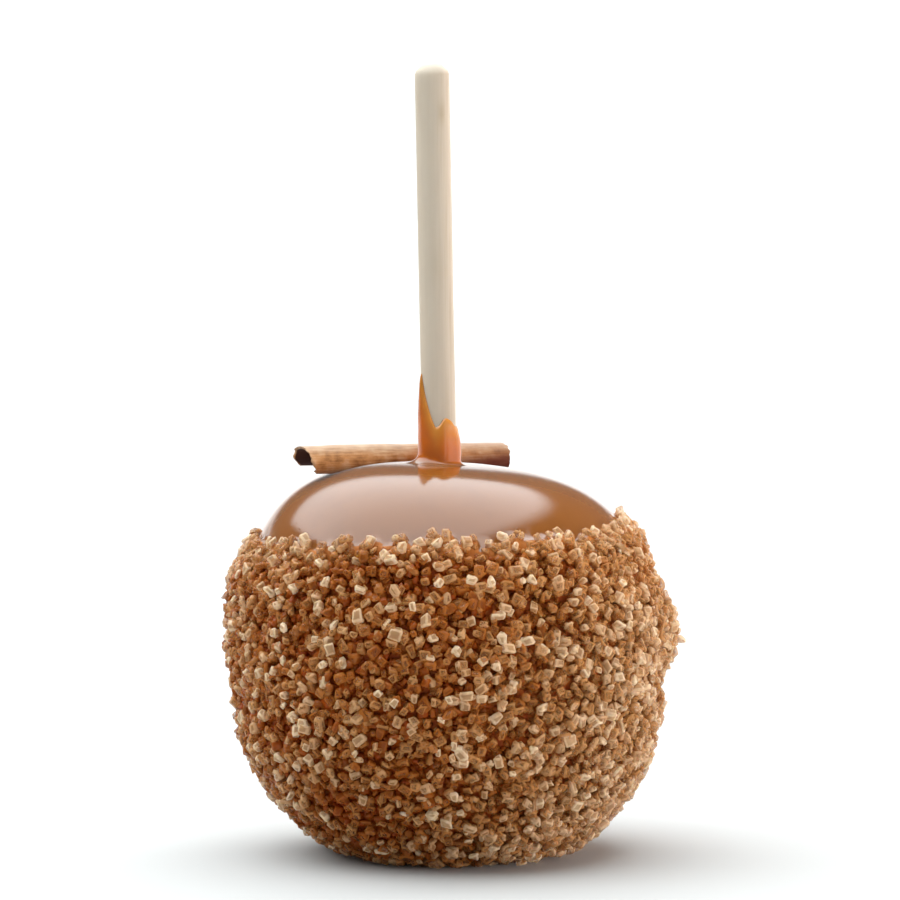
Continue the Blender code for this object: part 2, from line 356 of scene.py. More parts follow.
@dataclass(frozen=True)
class CookedCaramel(Finish):
    """Caramel of sugar, butter and cream, dipped while hot and set: opaque brown, smooth and glossy.

    Where the film thins out on the stick, the wood shines through and it looks yellower.
    """

    name: str = "cooked_caramel_dipped"
    # Colours at the rim, low on the collar and on the dome. The rim's thin film is really yellower; the
    # collar's lighter, redder colour is painted light, for light shining through its caramel and to make up
    # for the dimmer light it gets.
    film_and_glow_colours: tuple[str, ...] = ("#c27e32", "#bc5f18", "#7c481a")
    clouds: str = "#6e3f18"
    # On the collar, which set while it ran, and on the dome
    roughness: Pair = (0.2, 0.13)
    ior: float = 1.5
    cloud_size: float = 9.0 * MM
    bubble_spacing: float = 1.6 * MM
    peel_size: float = 0.5 * MM

    def surface(self, add: NodeAdder) -> Inputs:
        """Gives the shader's inputs from "film": 0 at the rim, 1 low on the collar and 2 on the dome.

        Args:
            add: What adds a node.

        Returns:
            The inputs, by socket.
        """
        place = add("TexCoord", out="Object")
        film = add("Attribute", out="Fac", attribute_name="film")
        level = add("Math", (film, 0.5), operation="MULTIPLY")
        body = add("ValToRGB", (level,), stops=zip((0.0, 0.5, 1.0), self.film_and_glow_colours))
        clouds = add("TexNoise", {"Vector": place, "Scale": 1.0 / self.cloud_size, "Detail": 3.0})
        cloudy = add("MapRange", (clouds, 0.5, 0.75, 0.0, 0.5))
        bubbles = add("TexVoronoi", {"Vector": place, "Scale": 1.0 / self.bubble_spacing})
        pimples = add("MapRange", (bubbles, 0.04, 0.2, 1.0, 0.0))
        peel = add("TexNoise", {"Vector": place, "Scale": 1.0 / self.peel_size, "Detail": 1.0})
        height = add("Math", (peel, 0.6, pimples), operation="MULTIPLY_ADD")
        return {
            "Base Color": add("Mix", {0: cloudy, 6: body, 7: self.clouds}, 2, data_type="RGBA"),
            "Normal": add("Bump", {"Height": height, "Strength": 0.25, "Distance": 0.04 * MM}),
            "Roughness": add("MapRange", (film, 1.0, 2.0, *self.roughness)),
            "IOR": self.ior,
            "Subsurface Weight": 0.1,
            "Subsurface Radius": (1.0, 0.45, 0.15),
            "Subsurface Scale": 1.0 * MM,
        }


@dataclass(frozen=True)
class SoakedSugar(Finish):
    """Fine sugar sunk into the caramel: a wet, dark, red-brown bed that shows between the crystals."""

    name: str = "sugar_soaked_in_caramel"
    # Painted shade in the hollows between the grains (deep), painted light on their raised middles (lit), and
    # the bed's own colour near the sugar line (shallow)
    deep: str = "#8c3a10"
    lit: str = "#a2541c"
    shallow: str = "#a4622c"
    grain: float = 1.1 * MM

    def surface(self, add: NodeAdder) -> Inputs:
        """Gives the shader's inputs from "bed": 0 at the sugar line and 1 well below it.

        Args:
            add: What adds a node.

        Returns:
            The inputs, by socket.
        """
        place = add("TexCoord", out="Object")
        cells = add("TexVoronoi", {"Vector": place, "Scale": 1.0 / self.grain})
        # Painted shade and light: the grains' raised middles get the lit colour, the hollows between them the
        # deep one
        soaked = add("ValToRGB", (cells,), stops=((0.1, self.lit), (0.7, self.deep)))
        relief = {"Height": cells, "Strength": 0.6, "Distance": 0.3 * MM}
        return {
            "Base Color": tinted(add, self.shallow, ("bed", soaked)),
            "Normal": add("Bump", relief, invert=True),
            "Specular IOR Level": 0.08,
            "Roughness": 0.5,
        }


@dataclass(frozen=True)
class RawSugar(Finish):
    """Coarse raw cane sugar, crystallised slowly: clear hard blocks with a thin film of molasses.

    Edges and corners are painted paler, as painted highlights, while each face shows the brown that lies
    behind it. Deep in the crust the crystals are painted a saturated red-brown, as painted shade of light
    that has passed through many crystals.
    """

    name: str = "raw_cane_sugar_crystals"
    # Colours from the deepest crystals to the palest, in even steps of "shade", which holds painted shade and
    # painted light besides each crystal's own tone; edges take the paler second row as painted highlights
    faces: tuple[str, ...] = ("#8a3307", "#8e3f0d", "#97541e", "#ac7846", "#d0ac83")
    edges: tuple[str, ...] = ("#8e3707", "#944812", "#a15e25", "#bb8652", "#e0c7a6")
    # How much a clear crystal covers: in the middle of its faces, and on its edges
    cover: Pair = (0.42, 0.8)
    clear_from: Pair = (0.15, 0.6)
    roughness: float = 0.22
    ior: float = 1.54
    gloss: float = 0.15
    through: float = 0.3
    frost_size: float = 0.8 * MM

    def surface(self, add: NodeAdder) -> Inputs:
        """Gives the shader's inputs from "rim", 1 on edges, and "shade", 0 deep down and 1 on the palest.

        Args:
            add: What adds a node.

        Returns:
            The inputs, by socket.
        """
        place = add("TexCoord", out="Object")
        rim, shade = (add("Attribute", out="Fac", attribute_name=value) for value in ("rim", "shade"))
        frost = add("TexNoise", {"Vector": place, "Scale": 1.0 / self.frost_size, "Detail": 2.0})
        # Painted highlight: where "rim" is high, on edges and corners, the paler edge colours show
        ragged = add("Math", (frost, 0.7, rim), operation="MULTIPLY_ADD")
        edge = add("MapRange", (ragged, 1.0, 1.45))
        clear = add("MapRange", (edge, 0.0, 1.0, *self.cover))
        depths = np.linspace(0.0, 1.0, len(self.faces))
        face, rims = (
            add("ValToRGB", (shade,), stops=zip(depths, colours)) for colours in (self.faces, self.edges)
        )
        return {
            "Base Color": add("Mix", {0: edge, 6: face, 7: rims}, 2, data_type="RGBA"),
            "Normal": add("Bump", {"Height": frost, "Strength": 0.15, "Distance": 0.08 * MM}),
            "Alpha": add("MapRange", (shade, *self.clear_from, 1.0, clear)),
            "Specular IOR Level": self.gloss,
            "Roughness": self.roughness,
            "IOR": self.ior,
            "Subsurface Weight": self.through,
            "Subsurface Radius": (1.0, 0.65, 0.3),
            "Subsurface Scale": 0.6 * MM,
        }


@dataclass(frozen=True)
class BirchDowel(Finish):
    """Birch, turned to a dowel and sanded: pale and matt, with fine grain along its length.

    The cut end is paler, a side is painted paler as painted light, and faint stains show where it was
    handled.
    """

    name: str = "birch_dowel_sanded"
    early: str = "#baaa97"
    late: str = "#b09e89"
    stain: str = "#998466"
    # The cut ends' colour, which the side painted as painted light takes too
    cut: str = "#c6b8a6"
    grain_width: float = 0.5 * MM
    grain_length: float = 22.0 * MM

    def surface(self, add: NodeAdder) -> Inputs:
        """Gives the shader's inputs from "cut", 1 on cut ends and high on the side painted paler as painted
        light, and "stain", 1 in a stain's middle.

        Args:
            add: What adds a node.

        Returns:
            The inputs, by socket.
        """
        scale = (1.0 / self.grain_width, 1.0 / self.grain_width, 1.0 / self.grain_length)
        along = add("Mapping", {"Vector": add("TexCoord", out="Object"), "Scale": scale})
        grain = add("TexNoise", {"Vector": along, "Scale": 1.0, "Detail": 4.0, "Roughness": 0.6})
        wood = add("ValToRGB", (grain,), stops=((0.32, self.late), (0.62, self.early)))
        return {
            "Base Color": tinted(add, wood, ("stain", self.stain), ("cut", self.cut)),
            "Normal": add("Bump", {"Height": grain, "Strength": 0.15, "Distance": 0.06 * MM}),
            "Roughness": 0.62,
            "Subsurface Weight": 0.4,
            "Subsurface Radius": (1.0, 0.9, 0.75),
            "Subsurface Scale": 2.5 * MM,
        }


@dataclass(frozen=True)
class CinnamonBark(Finish):
    """Inner bark of the cinnamon tree, scraped, rolled and dried: matt tan with fibres, dark inside.

    Its underside and right end are painted darker as painted shade, its top is painted paler as a painted
    sheen, and the darker bark inside the roll is deepened with painted shade.
    """

    # The quill's turn, whose own X runs along the fibres
    lie: Triple
    name: str = "cinnamon_bark_rolled"
    pale: str = "#d0a47a"
    tan: str = "#bc8048"
    dark: str = "#8e5a2c"
    # Colours of the painted shade, of the painted sheen on top, and of the inside, whose bark is deepened
    # with painted shade
    damp: str = "#5c1c08"
    painted_sheen: str = "#ac947c"
    inside: str = "#3a1409"
    fibre_width: float = 0.35 * MM
    fibre_length: float = 3.0 * MM
    patch: float = 2.2 * MM

    def surface(self, add: NodeAdder) -> Inputs:
        """Gives the shader's inputs from "inside", 1 within the roll, "damp" and "dusty".

        Args:
            add: What adds a node.

        Returns:
            The inputs, by socket.
        """
        place = add("TexCoord", out="Object")
        lying = add("Mapping", {"Vector": place, "Rotation": self.lie}, vector_type="TEXTURE")
        scale = (1.0 / self.fibre_length, 1.0 / self.fibre_width, 1.0 / self.fibre_width)
        along = add("Mapping", {"Vector": lying, "Scale": scale})
        fibres = add("TexNoise", {"Vector": along, "Scale": 1.0, "Detail": 4.0, "Roughness": 0.65})
        patches = add("TexNoise", {"Vector": place, "Scale": 1.0 / self.patch, "Detail": 4.0})
        level = add("Mix", {0: 0.4, 2: patches, 3: fibres})
        dry = add("ValToRGB", (level,), stops=((0.34, self.dark), (0.49, self.tan), (0.66, self.pale)))
        # Painted sheen on top, painted shade below and at the right end, and the inside's colour with its
        # painted shade
        layers = (("dusty", self.painted_sheen), ("damp", self.damp), ("inside", self.inside))
        return {
            "Base Color": tinted(add, dry, *layers),
            "Normal": add("Bump", {"Height": level, "Strength": 0.5, "Distance": 0.15 * MM}),
            "Roughness": 0.7,
            "Sheen Weight": 0.2,
            "Sheen Roughness": 0.4,
        }


@dataclass(frozen=True)
class StudioSweep(Finish):
    """Matt white paper sweep, lit from behind where it curves up: an even, pale ground."""

    name: str = "paper_sweep_matt"
    paper: str = "#b6b3b0"
    light: str = "#ffffff"
    glow_from: Pair = (1.3, 2.3)
    glow: float = 0.42
    fibre: float = 2.5 * MM

    def surface(self, add: NodeAdder) -> Inputs:
        """Gives the shader's inputs.

        Args:
            add: What adds a node.

        Returns:
            The inputs, by socket.
        """
        place = add("TexCoord", out="Object")
        fibre = add("TexNoise", {"Vector": place, "Scale": 1.0 / self.fibre, "Detail": 2.0})
        away = add("VectorMath", (place,), "Value", operation="LENGTH")
        return {
            "Base Color": self.paper,
            "Normal": add("Bump", {"Height": fibre, "Strength": 0.05, "Distance": 0.1 * MM}),
            "Roughness": 0.9,
            "Emission Color": self.light,
            "Emission Strength": add("MapRange", (away, *self.glow_from, 0.0, self.glow)),
        }


@dataclass(frozen=True)
class BlackVelvet(Finish):
    """Black velvet on a board, woven with a pile that swallows light."""

    name: str = "black_velvet"
    colour: str = "#0c0c0c"

    def surface(self, add: NodeAdder) -> Inputs:
        """Gives the shader's inputs."""
        return {"Base Color": self.colour, "Roughness": 0.95}


# ------------------------------------------------------------------------------------------------ forms


@dataclass(frozen=True)
class FruitForm:
    """The dipped fruit: a superellipse in its own frame, which is tilted, sheared and moved to its place."""

    radius: float = 37.9 * MM
    above: float = 34.4 * MM
    below: float = 39.8 * MM
    upper_power: float = 2.9
    lower_power: float = 2.25
    middle: Triple = (-2.4 * MM, 0.0, 37.7 * MM)
    tilt: float = math.radians(3.8)
    shear: float = -0.03
    # Lobes: how many round the fruit, and their share of its radius
    lobes: Rows = ((2, 0.010), (3, 0.012), (5, 0.008))
    # The sugar line: its height, its slope along X and Y, its waves (how many, height, phase) and its
    # raggedness (reach, size). Below it the crust fades in, and it reaches its full thickness further down.
    line_height: float = 60.3 * MM
    line_slope: Pair = (0.045, -0.025)
    line_waves: Rows = ((3, 0.55 * MM, 0.6), (7, 0.4 * MM, 2.0))
    line_ragged: Pair = (2.0 * MM, 2.4 * MM)
    line_fade: float = 1.5 * MM
    line_taper: float = 7.0 * MM
    line_thickness: float = 0.45
    clumps: Pair = (0.9 * MM, 9.0 * MM)
    # Swells of the crust: side (1 right, -1 left), height, reach, half-height
    swells: Rows = (
        (1.0, 40.0 * MM, 1.7 * MM, 5.0 * MM),
        (1.0, 54.0 * MM, -1.9 * MM, 5.5 * MM),
        (1.0, 31.0 * MM, -1.2 * MM, 3.5 * MM),
        (-1.0, 46.0 * MM, 0.4 * MM, 8.0 * MM),
        (-1.0, 27.0 * MM, -0.6 * MM, 5.0 * MM),
        (-1.0, 9.0 * MM, 0.2 * MM, 4.0 * MM),
    )
    swell_power: int = 6
    search_steps: int = 8

    def frame(self) -> Matrix:
        """Tilts, shears and moves the fruit.

        Returns:
            The way from the fruit's own frame to the part's.
        """
        shear = Matrix.Identity(4)
        shear[0][2] = self.shear
        return Matrix.Translation(self.middle) @ shear @ Matrix.Rotation(self.tilt, 4, "Y")

    def coat(self, directions: Array) -> Array:
        """Finds the caramel's surface.

        Args:
            directions: Unit vectors of the fruit's own frame.

        Returns:
            Points of the part's frame.
        """
        across = np.hypot(directions[..., 0], directions[..., 1])
        angle = np.arctan2(directions[..., 1], directions[..., 0])
        radius = self.radius * np.ones_like(across)
        for count, share in self.lobes:
            radius *= 1.0 + share * across * np.sin(count * angle)
        low = directions[..., 2] < 0.0
        power = np.where(low, self.lower_power, self.upper_power)
        rise = np.abs(directions[..., 2]) / np.where(low, self.below, self.above)
        distance = ((across / radius) ** power + rise**power) ** (-1.0 / power)
        return moved(directions * distance[..., None], self.frame())

    def outward(self, directions: Array) -> Array:
        """Unit vectors of the part's frame for directions of the fruit's own frame."""
        return unit(directions @ np.array(self.frame())[:3, :3].T)

    def below_line(self, points: Array) -> Array:
        """How far points lie below the sugar line.

        Args:
            points: Points of the part's frame.

        Returns:
            A distance for each, negative above the line.
        """
        angle = np.arctan2(points[..., 1], points[..., 0] - self.middle[0])
        line = self.line_height + self.line_slope[0] * points[..., 0] + self.line_slope[1] * points[..., 1]
        for count, high, phase in self.line_waves:
            line = line + high * np.sin(count * angle + phase)
        reach, size = self.line_ragged
        return line + reach * noise_at(points, size, 40.0) - points[..., 2]

    def crust_share(self, points: Array) -> Array:
        """0 on bare caramel and 1 well below the sugar line."""
        return smoothstep(self.below_line(points) / self.line_fade)

    def thickness_share(self, points: Array) -> Array:
        """1 well below the sugar line, and less near it, where the crust thins out."""
        thin = self.line_thickness
        return thin + (1.0 - thin) * smoothstep(self.below_line(points) / self.line_taper)

    def clumping(self, points: Array) -> Array:
        """How much thicker than usual the crust is: its clumps and its swells.

        Args:
            points: Points of the part's frame.

        Returns:
            A distance for each, negative where the crust is thinner.
        """
        reach = self.clumps[0] * noise_at(points, self.clumps[1])
        for side, height, swell, half_height in self.swells:
            aside = side * (points[..., 0] - self.middle[0]) / self.radius
            beside = np.maximum(0.0, aside) ** self.swell_power
            reach = reach + swell * beside * bell(points[..., 2] - height, half_height)
        return reach

    def direction_to(self, target: Vector) -> Vector:
        """Finds where the coat lies under or over a point.

        Args:
            target: A point of the part's frame. Only its X and Y count.

        Returns:
            A unit vector of the fruit's own frame that points up.
        """
        direction = Vector((0.0, 0.0, 1.0))
        for _ in range(self.search_steps):
            point = self.coat(np.array(direction)[None])[0]
            step = Vector((target.x - point[0], target.y - point[1], 0.0)) / self.above
            direction = (direction + step).normalized()
        return direction


@dataclass(frozen=True)
class Dowel:
    """The round birch stick, leaning a little to the left."""

    radius: float = 3.18 * MM
    length: float = 114.3 * MM
    top: Triple = (-5.3 * MM, 0.0, 146.0 * MM)
    lean: float = math.radians(-1.1)
    chamfer: float = 1.5 * MM
    rounding: float = 0.25 * MM
    rows: int = 90
    columns: int = 96
    sharp_from: float = math.radians(40.0)
    # Its surface's unevenness: reach, size, and how far it is drawn out along the grain
    unevenness: Triple = (0.035 * MM, 1.5 * MM, 0.12)
    # The side painted paler as painted light: its middle's angle, its half-width in degrees and how pale it
    # is
    painted_light_side: Triple = (248.0, 50.0, 0.8)
    # Stains: angle from +X in degrees, distance below the top, half-width in degrees, half-height
    stains: Rows = (
        (262.0, 37.0 * MM, 22.0, 3.5 * MM),
        (300.0, 9.0 * MM, 14.0, 2.0 * MM),
        (120.0, 58.0 * MM, 30.0, 4.0 * MM),
        (40.0, 21.0 * MM, 18.0, 2.5 * MM),
    )
    stain_strength: float = 0.75

    def frame(self) -> Matrix:
        """From the stick's own frame, with its top at the origin and its length along -Z."""
        return Matrix.Translation(self.top) @ Matrix.Rotation(self.lean, 4, "Y")

    def point(self, height: Array | float) -> Array:
        """The middle of the stick.

        Args:
            height: Heights in the part's frame.

        Returns:
            A point at each height.
        """
        along = (np.asarray(height, dtype=float) - self.top[2]) / math.cos(self.lean)
        zero = np.zeros_like(along)
        return moved(np.stack([zero, zero, along], axis=-1), self.frame())

    def profile(self) -> Array:
        """Lays out the rings from the stick's top to its foot.

        Returns:
            Radius, distance below the top, and how much of a cut end shows, one row for each ring.
        """
        inset, soft = self.radius - self.chamfer, self.rounding
        ends = [
            (0.5 * inset, 0.0, 1.0),
            (inset - soft, 0.0, 1.0),
            (inset + 0.4 * soft, 0.3 * soft, 1.0),
            (self.radius - 0.5 * self.chamfer, 0.5 * self.chamfer, 0.8),
            (self.radius - soft, self.chamfer - soft, 0.7),
            (self.radius, self.chamfer + 1.5 * soft, 0.0),
        ]
        start = self.chamfer + 2.0 * soft
        step = (self.length - 2.0 * start) / self.rows
        body = [(self.radius, start + step * row, 0.0) for row in range(1, self.rows)]
        return np.array(ends + body + [(wide, self.length - down, cut) for wide, down, cut in reversed(ends)])

    def build(self) -> None:
        """Builds the stick and dresses it in birch."""
        degrees = np.arange(self.columns) * 360.0 / self.columns
        turn = np.radians(degrees)
        wide, down, cut = self.profile().T[:, :, None] * np.ones_like(turn)
        around = np.stack([np.cos(turn) * np.ones_like(down), np.sin(turn) * np.ones_like(down)], axis=-1)
        reach, size, drawn_out = self.unevenness
        spots = np.concatenate([around * self.radius, -down[..., None] * drawn_out], axis=-1)
        wide = wide + reach * noise_at(spots, size) * (wide > 0.9 * self.radius)
        points = moved(np.concatenate([around * wide[..., None], -down[..., None]], axis=-1), self.frame())
        ends = moved(np.array([[0.0, 0.0, 0.0], [0.0, 0.0, -self.length]]), self.frame())
        mesh = tube_mesh("birch_stick", points[:, ::-1], ends)
        mesh.set_sharp_from_angle(angle=self.sharp_from)
        # Painted light: the side where the light falls takes the cut ends' paler colour
        middle, half_width, most = self.painted_light_side
        cut = np.maximum(cut, most * bell(turned_away(degrees, middle), half_width))
        stain = np.zeros_like(cut)
        for middle, below, half_width, half_height in self.stains:
            spot = bell(turned_away(degrees, middle), half_width) * bell(down - below, half_height)
            stain = np.maximum(stain, self.stain_strength * spot)
        values = {
            "cut": np.append(cut[:, ::-1].ravel(), (1.0, 1.0)),
            "stain": np.append(stain[:, ::-1].ravel(), (0.0, 0.0)),
        }
        piece = add_piece(mesh, Slot.BIRCH, "stick", [BirchDowel().make()], **values)
        # The dipped caramel is too soft a mirror to show so thin a stick
        piece.visible_glossy = False


@dataclass(frozen=True)
class Quill:
    """A piece of cinnamon quill: one sheet of bark rolled past itself, its left end cut at a slant."""

    radius: float = 2.75 * MM
    length: float = 41.6 * MM
    bark: float = 0.75 * MM
    gap: float = 0.4 * MM
    # The roll's edges, and where it starts to dip under itself, in degrees round its axis
    roll: Pair = (-28.0, 405.0)
    overlap_from: float = 262.0
    turn: float = math.radians(28.0)
    tilt: float = math.radians(1.1)
    middle_height: float = 72.8 * MM
    behind_stick: float = 7.0 * MM
    middle_from_stick: float = -6.7 * MM
    # The left end: how far each unit of depth and of height cuts it back, its slant, flap and thinness
    cut: Pair = (0.85, 0.25)
    slant: float = 0.25
    flap: float = 5.0 * MM
    flap_from: Pair = (250.0, 285.0)
    thin_end: float = 0.5
    worn_end: float = 0.7 * MM
    ragged: Pair = (0.35 * MM, 0.8 * MM)
    taper: float = 0.03
    swell: float = 0.015
    # Relief of the bark: the reach and size of its fibres and of its dents
    fibres: Pair = (0.07 * MM, 0.45 * MM)
    dents: Pair = (0.12 * MM, 2.2 * MM)
    drawn_out: float = 0.12
    edge_rounding: float = 4.0
    steps_along: int = 150
    steps_round: int = 150
    sharp_from: float = math.radians(50.0)
    # Angles over which the bark is painted dark as painted shade, where it rolls under itself, and how much
    # of that its ends show
    shaded: Pair = (290.0, 350.0)
    shaded_ends: float = 0.25
    # Painted shade on the underside: how high it climbs at the right end, how softly it stops, how strong it
    # is on the left and how much stronger on the right, and a share over the whole right end
    damp: tuple[float, ...] = (0.9, 1.1, 0.35, 0.6, 0.25)
    # Painted sheen on top: its strength, how far up it starts, and how softly
    painted_sheen: Triple = (0.6, 0.2, 0.7)

    def frame(self, stick: Dowel) -> Matrix:
        """Lays the quill behind the stick.

        Args:
            stick: The stick.

        Returns:
            The way from the quill's own frame, with its length along X, to the part's frame.
        """
        along = Vector((math.cos(self.turn), math.sin(self.turn), 0.0))
        behind = self.behind_stick * Vector((-along.y, along.x, 0.0))
        reach = (self.middle_from_stick - behind.x) / along.x
        middle = Vector(stick.point(self.middle_height)) + behind + along * reach
        lie = Matrix.Rotation(self.turn, 4, "Z") @ Matrix.Rotation(self.tilt, 4, "Y")
        return Matrix.Translation(middle) @ lie

    def side(self, degrees: Array, share: Array, facing: float) -> Array:
        """Shapes one side of the bark.

        Args:
            degrees: Angles round the roll's axis.
            share: 0 at the left end and 1 at the right, one row each.
            facing: 1 for the outside and -1 for the inside.

        Returns:
            Points of the quill's own frame, as rings by angles by X, Y, Z.
        """
        outer = self.radius - self.bark / 2.0
        dip = smoothstep(degrees, self.overlap_from, 360.0)
        middle = outer - (self.bark + self.gap) * dip
        edges = np.clip(np.minimum(degrees, self.roll[1] - degrees) / self.edge_rounding, 0.15, 1.0)
        thick = self.bark / 2.0 * np.sqrt(edges) * (1.0 - self.thin_end * (1.0 - smoothstep(5.0 * share)))
        radius, angle = middle + facing * thick, np.radians(degrees)
        flat = share * self.length * self.drawn_out * np.ones_like(angle)
        spots = np.stack([flat, radius * np.cos(angle), radius * np.sin(angle)], axis=-1)
        relief = self.fibres[0] * noise_at(spots, self.fibres[1], facing)
        relief = relief + self.dents[0] * noise_at(spots, self.dents[1])
        wide = radius * (1.0 - self.taper * share + self.swell * np.sin(9.0 * share)) + facing * relief
        across, up = wide * np.cos(angle), wide * np.sin(angle)
        ragged = self.ragged[0] * noise_at(np.stack([across, up, 0.0 * up], axis=-1), self.ragged[1], 7.0)
        left, right = 1.0 - smoothstep(8.0 * share), smoothstep(8.0 * share - 7.0)
        under = smoothstep(degrees, *self.flap_from)
        slanted = np.where(up < 0.0, *self.cut) * -up - self.slant * across + self.flap * under
        worn = self.worn_end * (np.clip(-across / self.radius, 0.0, 1.0) - 0.4)
        along = self.length * (share - 0.5) + (1.0 - smoothstep(2.0 * share)) * slanted
        return np.stack([along + ragged * (left - right) + worn * right, across, up], axis=-1)

    def build(self, stick: Dowel) -> None:
        """Builds the quill and dresses it in bark.

        Args:
            stick: The stick, which the quill lies behind.
        """
        frame = self.frame(stick)
        degrees = np.linspace(*self.roll, self.steps_round + 1)
        share = np.linspace(0.0, 1.0, self.steps_along + 1)[:, None]
        sides = [self.side(degrees, share, 1.0), self.side(degrees, share, -1.0)[:, ::-1]]
        points = moved(np.concatenate(sides, axis=1), frame)
        rings, around = points.shape[:2]
        outer = np.arange(around // 2 - 1)
        inner = around - 1 - outer
        start = np.stack([outer, inner, inner - 1, outer + 1], axis=-1)
        end = np.stack([outer, outer + 1, inner - 1, inner], axis=-1) + (rings - 1) * around
        mesh = new_mesh("cinnamon", points.reshape(-1, 3), grid(rings, around), start, end)
        mesh.shade_smooth()
        mesh.set_sharp_from_angle(angle=self.sharp_from)

        # Painted shade: the bark rolled under itself and the whole inner side take the dark inside colour,
        # the ends less; on the inner side it deepens the bark's own darker colour
        hidden = smoothstep(degrees, *self.shaded)
        inside = np.append(hidden, np.ones_like(hidden)) * np.ones_like(share)
        inside[[0, -1]] *= self.shaded_ends
        up = np.sin(np.radians(np.append(degrees, degrees[::-1])))
        # Painted shade over the underside, climbing higher towards the right end, and over the whole right
        # end
        climb, softness, left, more, whole = self.damp
        damp = smoothstep((climb * share**2 - up) / softness) * (left + more * smoothstep(share))
        damp = damp + whole * smoothstep(3.0 * share - 1.6) * (1.0 - damp)
        # Painted sheen: the top of the quill is painted paler
        strength, start, softness = self.painted_sheen
        dusty = strength * smoothstep((up - start) / softness) * np.ones_like(share)
        bark = CinnamonBark(tuple(frame.to_euler())).make()
        values = {"inside": inside, "damp": damp, "dusty": dusty}
        piece = add_piece(mesh, Slot.BARK, "cinnamon_quill", [bark], **values)
        # Its dark mirror image would hide the lit line along the top of the dome
        piece.visible_glossy = False


